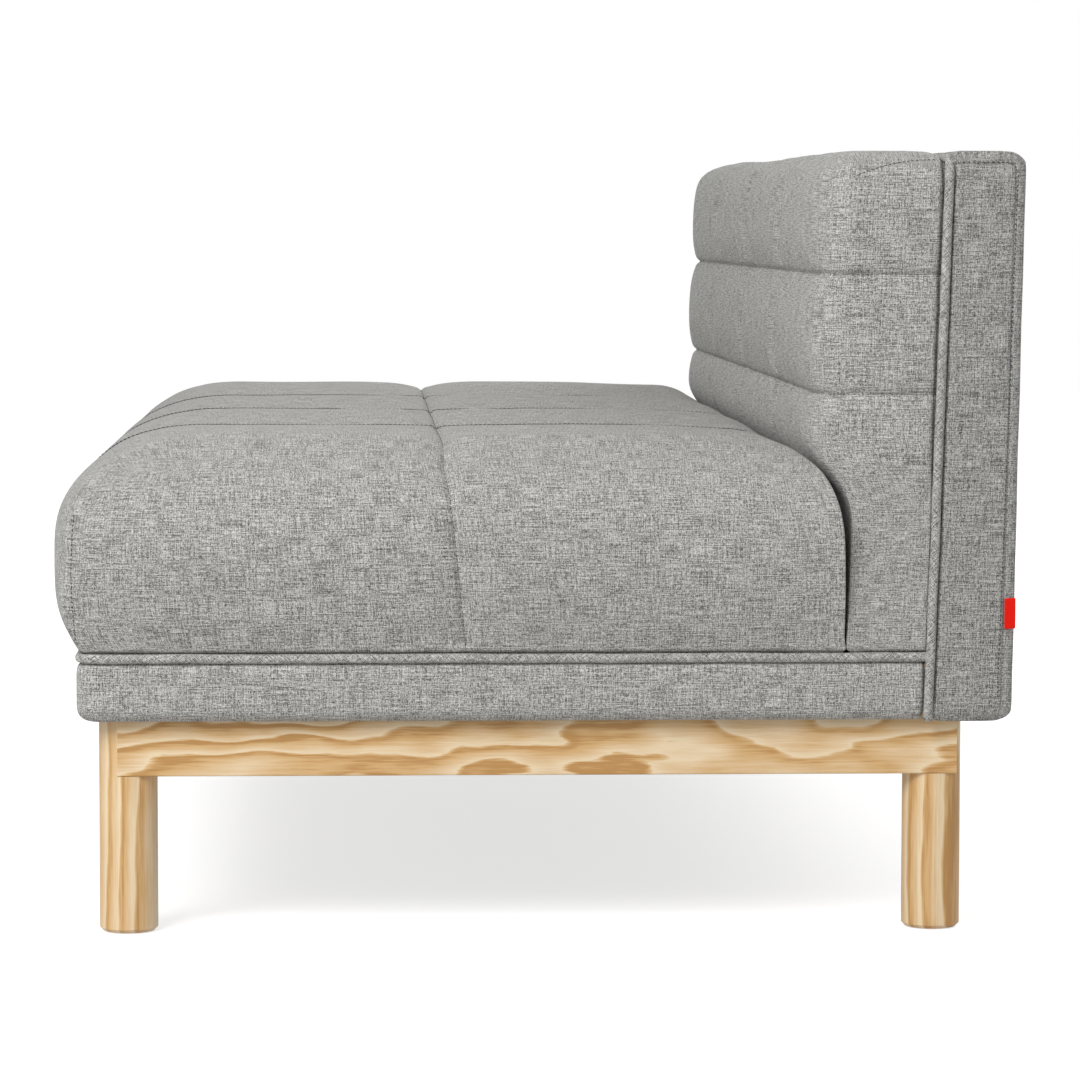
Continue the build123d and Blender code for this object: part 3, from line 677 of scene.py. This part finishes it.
def grid_map(points, rows, columns, start, turn=0.0):
    """Weave coordinates of a closed swept grid: the length along it and the way round it, in metres."""
    grid = points.reshape(rows, columns, 3)
    along = np.append(0.0, np.cumsum(np.linalg.norm(np.diff(grid[:, 0], axis=0), axis=1)))
    ring = np.concatenate((grid[0], grid[0, :1]))
    around = np.append(0.0, np.cumsum(np.linalg.norm(np.diff(ring, axis=0), axis=1)))
    low_u, high_u = np.repeat(along[:-1], columns), np.repeat(along[1:], columns)
    low_v, high_v = np.tile(around[:-1], rows - 1), np.tile(around[1:], rows - 1)
    u = np.stack((low_u, low_u, high_u, high_u), axis=-1).ravel()
    v = np.stack((low_v, high_v, high_v, low_v), axis=-1).ravel()
    cos, sin = math.cos(turn), math.sin(turn)
    return np.stack((u * cos - v * sin + start, u * sin + v * cos + start), axis=-1)


def capped(name, points, rows, columns, start, turn=0.0):
    """A closed swept piece with flat ends."""
    quads = grid_quads(rows, columns, True).tolist()
    weave = grid_map(points, rows, columns, start, turn)
    first = list(range(columns))[::-1]
    last = list(range((rows - 1) * columns, rows * columns))
    ends = np.zeros((2 * columns, 2)) + start
    return make_piece(name, points, quads + [first, last], np.concatenate((weave, ends)))


def make_band():
    """Deck band: padded fabric round the front and ends, turned under to a lip below."""
    low, high = band_low[2], band_high[2]
    turn = np.linspace(0, math.pi / 2, band_turn_steps)
    section = [(edge_tuck, welt_level)]
    section += [(inset, high - drop) for inset, drop in band_roll]
    section += [(band_round * (1 - math.cos(a)), low + band_round * (1 - math.sin(a))) for a in turn]
    section += [(band_lip, low), (band_lip, low + band_lip_height), (band_round, low + band_wall)]
    section += [(band_wall, low + band_round), (band_wall + band_inner_lean, high - band_inner_drop)]
    section += [(band_wall + edge_tuck, welt_level)]
    rings = [np.insert(deck_line(inset), 2, level, axis=1) for inset, level in section]
    points = np.stack(rings, axis=1)
    rows, columns = points.shape[:2]
    points = points.reshape(-1, 3)
    wave = band_wave * ripple(points, band_wave_count, offset=31.0)
    out = points * (1, 1, 0)
    out /= np.linalg.norm(out, axis=1)[:, None]
    points += out * wave[:, None]
    welt_edge = lean_back(points * (1, 0, 1))[:, 1] - welt_radius
    points[:, 0] -= np.sign(points[:, 0]) * welt_tuck(welt_edge - points[:, 1])
    band = capped("deck_upholstery", points, rows, columns, band_weave)
    subdivide(band)
    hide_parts("deck_band")
    return band


def tube(name, path, flat_axis, start):
    """Piping along a path that lies in one plane, its cover cut on the bias."""
    tangent = np.gradient(path, axis=0)
    tangent /= np.linalg.norm(tangent, axis=1)[:, None]
    outward = np.cross(tangent, flat_axis)
    wave = piping_wave * ripple(path, piping_wave_count, start)
    path = path + flat_axis * wave[:, None]
    angles = np.linspace(0, 2 * math.pi, tube_sides, endpoint=False)
    rings = [path + welt_radius * (math.cos(a) * outward + math.sin(a) * flat_axis) for a in angles]
    points = np.stack(rings, axis=1).reshape(-1, 3)
    return capped(name, points, len(path), tube_sides, start, piping_bias)


def make_deck_piping():
    """Piping between the deck band and the seat."""
    inset = deck_end - (deck_welt_high[0] - welt_radius) + deck_welt_sink
    path = np.insert(deck_line(inset), 2, welt_level, axis=1)
    piping = tube("deck_piping", path, np.array((0.0, 0.0, 1.0)), deck_piping_weave)
    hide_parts("deck_welt")
    return piping


def make_back_piping():
    """Piping up both ends of the back and over its top."""
    end = back_welt_high[0] - welt_radius
    foot = shell_low[2]
    top = back_welt_high[2] - welt_radius - back_welt_sink
    corner = piping_corner
    rise = np.linspace(foot, top - corner, round((top - corner - foot) / path_step))
    turn = np.linspace(0, math.pi / 2, piping_turn_steps)[1:-1]
    run = np.linspace(end - corner, corner - end, round(2 * (end - corner) / path_step))
    right = np.concatenate((
        np.stack((np.full(len(rise), end), np.zeros(len(rise)), rise), axis=1),
        np.stack((end - corner + corner * np.cos(turn), np.zeros(len(turn)),
                  top - corner + corner * np.sin(turn)), axis=1),
    ))
    middle = np.stack((run, np.zeros(len(run)), np.full(len(run), top)), axis=1)
    path = lean_back(np.concatenate((right, middle, right[::-1] * (-1, 1, 1))))
    flat_axis = np.array((0.0, 1.0, -back_slope))
    piping = tube("back_piping", path, flat_axis / np.linalg.norm(flat_axis), back_piping_weave)
    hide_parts("back_welt")
    return piping


def end_path(piece, end, places):
    """Path on one end of a piece, along places (y, z) seen from there, and the way the fabric faces."""
    surface = BVHTree.FromObject(piece, bpy.context.evaluated_depsgraph_get())
    towards = Vector((-end, 0.0, 0.0))
    hits = [surface.ray_cast(Vector((end, y, z)), towards)[:2] for y, z in places]
    normals = np.array([normal for place, normal in hits])
    return np.array([place for place, normal in hits]) + normals * stitch_lift, normals


def between(rows, length, at):
    """Values of rows at a length along their path."""
    return np.array([np.interp(at, length, rows[:, axis]) for axis in range(3)])


def stitch_row(path, normals, radius, long):
    """Short grains of thread along a path, as points and faces."""
    length = np.append(0.0, np.cumsum(np.linalg.norm(np.diff(path, axis=0), axis=1)))
    points, faces = [], []
    for middle in np.arange(stitch_pitch / 2, length[-1], stitch_pitch):
        start = between(path, length, middle - long / 2)
        end = between(path, length, middle + long / 2)
        across = between(normals, length, middle) * radius
        aside = np.cross(end - start, across) / np.linalg.norm(end - start)
        centre = (start + end) / 2
        first = len(points)
        points += [start, end, centre + across, centre + aside, centre - across, centre - aside]
        for side in range(4):
            here, beside = first + 2 + side, first + 2 + (side + 1) % 4
            faces += [(first, here, beside), (first + 1, beside, here)]
    return points, faces


def make_stitches(name, rows, radius=stitch_radius, long=stitch_length):
    """Rows of stitches as one piece, each along its path and the way that path faces."""
    points, faces = [], []
    for path, normals in rows:
        row, grains = stitch_row(path, normals, radius, long)
        faces += [tuple(index + len(points) for index in grain) for grain in grains]
        points += row
    return make_piece(name, points, faces)


def end_rows(piece, places):
    """The same row of stitches on both ends of a piece, along places (y, z)."""
    return [end_path(piece, end, places) for end in (1.0, -1.0)]


def shell_stitches(shell):
    """Stitching round each end panel of the outside back, along its top and down its rear edge."""
    centre = np.array((topstitch_line, topstitch_level)) - stitch_corner
    turn = np.linspace(math.pi / 2, 0, stitch_turn_steps)
    bend = np.stack((np.cos(turn), np.sin(turn)), axis=1) * stitch_corner + centre
    run = np.linspace(stitch_start, centre[0], stitch_top_places)
    top = np.stack((run, np.full(stitch_top_places, topstitch_level)), axis=1)
    fall = np.linspace(centre[1], stitch_foot, stitch_rear_places)
    rear = np.stack((np.full(stitch_rear_places, topstitch_line), fall), axis=1)
    places = np.concatenate((top[:-1], bend, rear[1:]))
    leaned = lean_back(np.insert(places, 0, 0.0, axis=1))
    return make_stitches("outside_back_stitches", end_rows(shell, leaned[:, 1:]))


def back_stitches(back):
    """Stitching where each end panel of the inside back meets its top."""
    ys = np.linspace(back_seam_front, back_seam_rear, back_seam_places)
    share = (back_seam_rear - ys) / (back_seam_rear - back_seam_front)
    places = np.stack((ys, back_seam_level - back_seam_fall * share ** back_seam_power), axis=1)
    return make_stitches("inside_back_stitches", end_rows(back, places))


def corner_stitches(seat):
    """Stitching up each front corner of the seat, where its end meets its front."""
    levels = np.linspace(corner_seam_top, corner_seam_foot, corner_seam_places)
    bow = corner_seam_bow * np.sin(np.linspace(0, math.pi, len(levels)))
    places = np.stack((corner_seam_front - bow, levels), axis=1)
    return make_stitches("seat_corner_stitches", end_rows(seat, places))


def make_tab():
    """Small fabric tab folded into the rear seam of the right end, left plain."""
    lines = [np.linspace(tab_low[axis], tab_high[axis], count) for axis, count in enumerate(tab_grid)]
    flat, sides = block(*lines)
    free = (flat[:, 1] - tab_low[1]) / (tab_high[1] - tab_low[1])
    height = (flat[:, 2] - tab_low[2]) / (tab_high[2] - tab_low[2])
    points = flat.copy()
    points[:, 0] += tab_curl * free ** 2 * np.sin(tab_curl_turn * height + tab_curl_start)
    points[:, 1] += tab_shift
    points[:, 2] += tab_lift * free
    weave = cloth_map(flat, sides, face=(0, 1), across=1, along=2, start=tab_weave)
    tab = make_piece("label_tab_cloth", points, np.concatenate(list(sides.values())), weave)
    subdivide(tab)
    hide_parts("label_tab")
    return tab


def make_dust_cover():
    """Black cloth stretched flat under the seat frame."""
    xs = np.linspace(dust_low[0], dust_high[0], dust_grid[0])
    ys = np.linspace(dust_low[1], dust_high[1], dust_grid[1])
    level = (dust_low[2] + dust_high[2]) / 2
    grid = np.stack(np.meshgrid(xs, ys, indexing="ij"), axis=-1).reshape(-1, 2)
    points = np.insert(grid, 2, level, axis=1)
    cloth = make_piece("dust_cloth", points, grid_quads(len(xs), len(ys), False))
    thick = cloth.modifiers.new("cloth", "SOLIDIFY")
    thick.thickness = cambric_thickness
    thick.offset = 0.0
    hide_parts("dust_cover")
    return cloth


def shader(name):
    """A new node material, its tree and its main shader."""
    material = bpy.data.materials.new(name)
    material.use_nodes = True
    tree = material.node_tree
    return material, tree, tree.nodes["Principled BSDF"]


def add(tree, kind, inputs=None, **settings):
    """A node with its settings, and its inputs as values or as links from other nodes' sockets."""
    node = tree.nodes.new(kind)
    for key, value in settings.items():
        setattr(node, key, value)
    for key, value in (inputs or {}).items():
        if isinstance(value, bpy.types.NodeSocket):
            tree.links.new(value, node.inputs[key])
        else:
            node.inputs[key].default_value = value
    return node


def math_node(tree, operation, *values):
    """The result of one sum on numbers or sockets."""
    return add(tree, "ShaderNodeMath", dict(enumerate(values)), operation=operation).outputs[0]


def vector_node(tree, operation, *values):
    """One sum on vectors or sockets."""
    return add(tree, "ShaderNodeVectorMath", dict(enumerate(values)), operation=operation)


def centred(tree, value):
    """A noise's value about nought."""
    return math_node(tree, "SUBTRACT", value, 0.5)


def stretched_noise(tree, place, scale, detail, roughness=0.6):
    """Noise with its own scale along each direction of the place."""
    mapped = add(tree, "ShaderNodeMapping", {"Vector": place, "Scale": scale})
    texture = add(tree, "ShaderNodeTexNoise", {
        "Vector": mapped.outputs[0], "Scale": 1.0, "Detail": detail, "Roughness": roughness})
    return texture.outputs[0]


def colour_ramp(tree, factor, stops):
    """Colours along a factor, from (place, colour) stops."""
    ramp = add(tree, "ShaderNodeValToRGB", {"Fac": factor})
    elements = ramp.color_ramp.elements
    while len(elements) < len(stops):
        elements.new(0.5)
    for element, (place, colour) in zip(elements, stops):
        element.position = place
        element.color = (*colour, 1.0)
    return ramp.outputs["Color"]


def coat(tree, surface, colour, height, strength, distance, roughness):
    """Gives a shader its colour, a bump of this strength and distance from the height, and roughness."""
    tree.links.new(colour, surface.inputs["Base Color"])
    bump = add(tree, "ShaderNodeBump", {"Strength": strength, "Distance": distance, "Height": height})
    tree.links.new(bump.outputs[0], surface.inputs["Normal"])
    surface.inputs["Roughness"].default_value = roughness


def make_tweed(name, painted_shade_factor):
    """Heathered tweed: fine grain, short dashes along warp and weft, and soft mottling, its shades scaled
    by a factor that paints shade on a darker copy.
    """
    material, tree, surface = shader(name)
    place = add(tree, "ShaderNodeUVMap", uv_map="weave").outputs["UV"]
    mixed = 0.5
    for scale, weight in tweed_layers:
        layer = centred(tree, stretched_noise(tree, place, scale, detail=1.0, roughness=0.5))
        mixed = math_node(tree, "MULTIPLY_ADD", layer, weight, mixed)
    # the factor darkens every shade: painted shade where it is below 1
    stops = [(at, [painted_shade_factor * part for part in shade]) for at, shade in tweed_shades]
    colour = colour_ramp(tree, mixed, stops)
    coat(tree, surface, colour, mixed, strength=0.45, distance=0.0005, roughness=0.92)
    surface.inputs["Specular IOR Level"].default_value = 0.2
    surface.inputs["Sheen Weight"].default_value = 0.12
    surface.inputs["Sheen Roughness"].default_value = 0.5
    return material


def ash_noise(tree, place, layer):
    """One of the ash's noises."""
    across, along, detail, roughness = ash_layers[layer]
    return stretched_noise(tree, place, (across, across, along), detail, roughness)


def make_ash(name, grain, heart, seed, sway, ring_count, streak):
    """Pale ash: growth rings about a heart line that sways along the grain axis, with fine pores."""
    material, tree, surface = shader(name)
    place = add(tree, "ShaderNodeTexCoord").outputs["Object"]
    split = add(tree, "ShaderNodeSeparateXYZ", {"Vector": place})
    cross = [axis for axis in "XYZ" if axis != grain]
    local = add(tree, "ShaderNodeCombineXYZ", {
        "X": split.outputs[cross[0]],
        "Y": split.outputs[cross[1]],
        "Z": split.outputs[grain],
    }).outputs[0]
    shifted = vector_node(tree, "ADD", local, (seed, seed * 1.7, seed * 2.3)).outputs[0]
    aside = vector_node(tree, "SUBTRACT", local, (*heart, 0.0)).outputs[0]
    flat = vector_node(tree, "MULTIPLY", aside, (1.0, 1.0, 0.0)).outputs[0]
    radius = vector_node(tree, "LENGTH", flat).outputs["Value"]
    swing = math_node(tree, "MULTIPLY", centred(tree, ash_noise(tree, shifted, "wander")), sway)
    jag = math_node(tree, "MULTIPLY", ash_noise(tree, shifted, "jag"), jag_share * sway)
    swayed = math_node(tree, "ADD", math_node(tree, "ADD", radius, swing), jag)
    grown = math_node(tree, "FRACT", math_node(tree, "MULTIPLY", swayed, ring_count))
    fading = math_node(tree, "SUBTRACT", 1.0, math_node(tree, "POWER", grown, year_end_power))
    year = math_node(tree, "MULTIPLY", grown, fading)
    bold = math_node(tree, "MULTIPLY_ADD", ash_noise(tree, shifted, "bold"), bold_gain, bold_base)
    ripe = math_node(tree, "MULTIPLY", year, bold)
    pores = centred(tree, ash_noise(tree, shifted, "pores"))
    fibre = centred(tree, ash_noise(tree, shifted, "fibre"))
    grainy = math_node(tree, "MULTIPLY_ADD", pores, pore_share, ripe)
    mixed = math_node(tree, "MULTIPLY_ADD", fibre, streak, grainy)
    colour = colour_ramp(tree, mixed, ash_shades)
    coat(tree, surface, colour, mixed, strength=0.12, distance=0.0004, roughness=0.48)
    return material


def make_plain(name, dark, light, scale, roughness, metallic=0.0):
    """A plain, slightly mottled finish."""
    material, tree, surface = shader(name)
    place = add(tree, "ShaderNodeTexCoord").outputs["Object"]
    mottle = stretched_noise(tree, place, scale, detail=3.0)
    colour = colour_ramp(tree, mottle, ((0.3, dark), (0.7, light)))
    coat(tree, surface, colour, mottle, strength=0.2, distance=0.0003, roughness=roughness)
    surface.inputs["Metallic"].default_value = metallic
    return material


def dress(piece, material, slot=None):
    """Gives a piece its finish, and where a slot is named, ties it to the root body it rides on."""
    piece.data.materials.clear()
    piece.data.materials.append(material)
    if slot:
        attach(piece, "root")


def dress_ash(names, grain, heart, seed, sway, ring_count, streak):
    """Gives each of these timbers ash of its own, its grain along an axis."""
    for index, name in enumerate(names):
        dress(nodes[name], make_ash(f"ash_{name}", grain, heart, seed + index, sway, ring_count, streak))


# Plain finishes: dark tone, light tone, mottles a metre along each axis, roughness and metal
# near-black thread, for the topstitches and for the seam threads that paint the seams' shade
thread_and_seam_shade = make_plain("thread_and_seam_shade", (0.055, 0.055, 0.052), (0.110, 0.109, 0.104), (600.0, 600.0, 600.0), 0.8)
red_cloth = make_plain("red_cloth", (0.72, 0.010, 0.004), (0.85, 0.018, 0.009), (900.0, 900.0, 900.0), 0.9)
red_cloth.node_tree.nodes["Principled BSDF"].inputs["Specular IOR Level"].default_value = 0.1
cambric = make_plain("cambric", (0.010, 0.010, 0.011), (0.028, 0.028, 0.030), (700.0, 700.0, 60.0), 0.9)
pine = make_plain("pine", (0.50, 0.33, 0.17), (0.66, 0.47, 0.28), (8.0, 60.0, 60.0), 0.7)
board = make_plain("fibreboard", (0.26, 0.16, 0.09), (0.36, 0.24, 0.14), (300.0, 300.0, 300.0), 0.8)
webbing = make_plain("webbing", (0.03, 0.03, 0.032), (0.09, 0.09, 0.095), (600.0, 600.0, 600.0), 0.85)
zinc = make_plain("zinc", (0.52, 0.53, 0.55), (0.68, 0.69, 0.70), (220.0, 220.0, 220.0), 0.38, 1.0)
nylon = make_plain("nylon", (0.58, 0.56, 0.52), (0.66, 0.64, 0.60), (400.0, 400.0, 400.0), 0.5)

# Dressed pieces
tweed = make_tweed("tweed", 1.0)
# darker copy of the tweed for the outside back: painted shade
shaded_outside_tweed = make_tweed("shaded_outside_tweed", outside_painted_shade)
shell = make_shell()
back, back_shade_threads = make_back()
seat, seat_shade_threads = make_seat()
for piece in (seat, back, make_band(), make_deck_piping(), make_back_piping()):
    dress(piece, tweed, "tweed")
# outside back in the darker copy, its painted shade
dress(shell, shaded_outside_tweed, "tweed")
# the seam stitches are dark thread that also paints the seams' shade lines
stitches = (
    make_stitches("seat_seam_shade_stitches", seat_shade_threads, seam_shade_thread_radius, seam_shade_thread_length),
    make_stitches("back_seam_shade_stitches", back_shade_threads, stitch_radius, seam_shade_thread_length),
    shell_stitches(shell),
    back_stitches(back),
    corner_stitches(seat),
)
for piece in stitches:
    dress(piece, thread_and_seam_shade, "tweed")
dress(make_tab(), red_cloth, "red_tab")
dress(make_dust_cover(), cambric, "cambric")

# Show timber
side_rails = ("side_rail_left", "side_rail_right")
long_rails = ("front_rail", "rear_rail", "center_stretcher")
legs = ("leg_front_left", "leg_front_right", "leg_rear_left", "leg_rear_right")
dress_ash(side_rails, "Y", side_rail_heart, side_rail_seed, rail_sway, rail_rings, rail_streak)
dress_ash(long_rails, "X", long_rail_heart, long_rail_seed, rail_sway, rail_rings, rail_streak)
dress_ash(legs, "Z", leg_heart, leg_seed, leg_sway, leg_rings, leg_streak)

# Frame, springing and fixings
finish_of = {"frame_timber": pine, "fibreboard": board, "webbing": webbing, "zinc": zinc, "nylon": nylon}
for part in frame["record"]["subparts"]:
    if part["material_slot"] in finish_of:
        dress(nodes[part["node"]], finish_of[part["material_slot"]])


def make_floor():
    """Plain pale floor that looks white to the camera and keeps the sofa's shadow."""
    bpy.ops.mesh.primitive_plane_add(size=floor_size)
    floor = bpy.context.object
    floor.name = "floor"
    material, tree, surface = shader("floor")
    surface.inputs["Base Color"].default_value = (floor_tone, floor_tone, floor_tone, 1.0)
    surface.inputs["Roughness"].default_value = 1.0
    glow = add(tree, "ShaderNodeEmission", {"Color": (1.0, 1.0, 1.0, 1.0)})
    path = add(tree, "ShaderNodeLightPath")
    seen = math_node(tree, "MAXIMUM", path.outputs["Is Camera Ray"], path.outputs["Is Glossy Ray"])
    tree.links.new(math_node(tree, "MULTIPLY", seen, floor_glow), glow.inputs["Strength"])
    both = add(tree, "ShaderNodeAddShader", {0: surface.outputs[0], 1: glow.outputs[0]})
    tree.links.new(both.outputs[0], tree.nodes["Material Output"].inputs["Surface"])
    floor.data.materials.append(material)


def make_world(strength):
    """Even soft light from all round, white to the camera and in reflections."""
    world = bpy.data.worlds.new("studio")
    world.use_nodes = True
    scene.world = world
    tree = world.node_tree
    path = add(tree, "ShaderNodeLightPath")
    seen = math_node(tree, "MAXIMUM", path.outputs["Is Camera Ray"], path.outputs["Is Glossy Ray"])
    seen = math_node(tree, "MAXIMUM", seen, path.outputs["Is Transmission Ray"])
    level = math_node(tree, "MULTIPLY_ADD", seen, 1.0 - strength, strength)
    background = tree.nodes["Background"]
    background.inputs["Color"].default_value = (1.0, 1.0, 1.0, 1.0)
    tree.links.new(level, background.inputs["Strength"])


def make_lamp(name, place, target, size, power):
    """A large soft lamp aimed at a point."""
    lamp = bpy.data.lights.new(name, "AREA")
    lamp.size = size
    lamp.energy = power
    holder = bpy.data.objects.new(name, lamp)
    holder.location = place
    holder.rotation_euler = (Vector(target) - Vector(place)).to_track_quat("-Z", "Y").to_euler()
    scene.collection.objects.link(holder)


def make_camera():
    """The photograph's view of the right end."""
    ahead = Vector((-math.cos(camera_yaw) * math.cos(camera_pitch),
                    math.sin(camera_yaw) * math.cos(camera_pitch), math.sin(camera_pitch)))
    level = ahead.cross(Vector((0, 0, 1))).normalized()
    upright = level.cross(ahead)
    right = math.cos(camera_roll) * level + math.sin(camera_roll) * upright
    up = right.cross(ahead)
    data = bpy.data.cameras.new("camera")
    data.sensor_width = camera_sensor
    data.lens = camera_lens
    data.clip_end = 100.0
    camera = bpy.data.objects.new("camera", data)
    turn = Matrix((right, up, -ahead)).transposed()
    camera.matrix_world = Matrix.Translation(camera_place) @ turn.to_4x4()
    scene.collection.objects.link(camera)
    scene.camera = camera


make_floor()
make_world(world_light)
make_lamp("key", place=(3.4, -1.85, 2.95), target=(0.4, -0.1, 0.4), size=2.0, power=124.0)
make_lamp("fill", place=(-3.0, 2.5, 2.6), target=(0.0, 0.0, 0.4), size=2.6, power=60.0)
make_camera()
scene.view_settings.view_transform = "Standard"
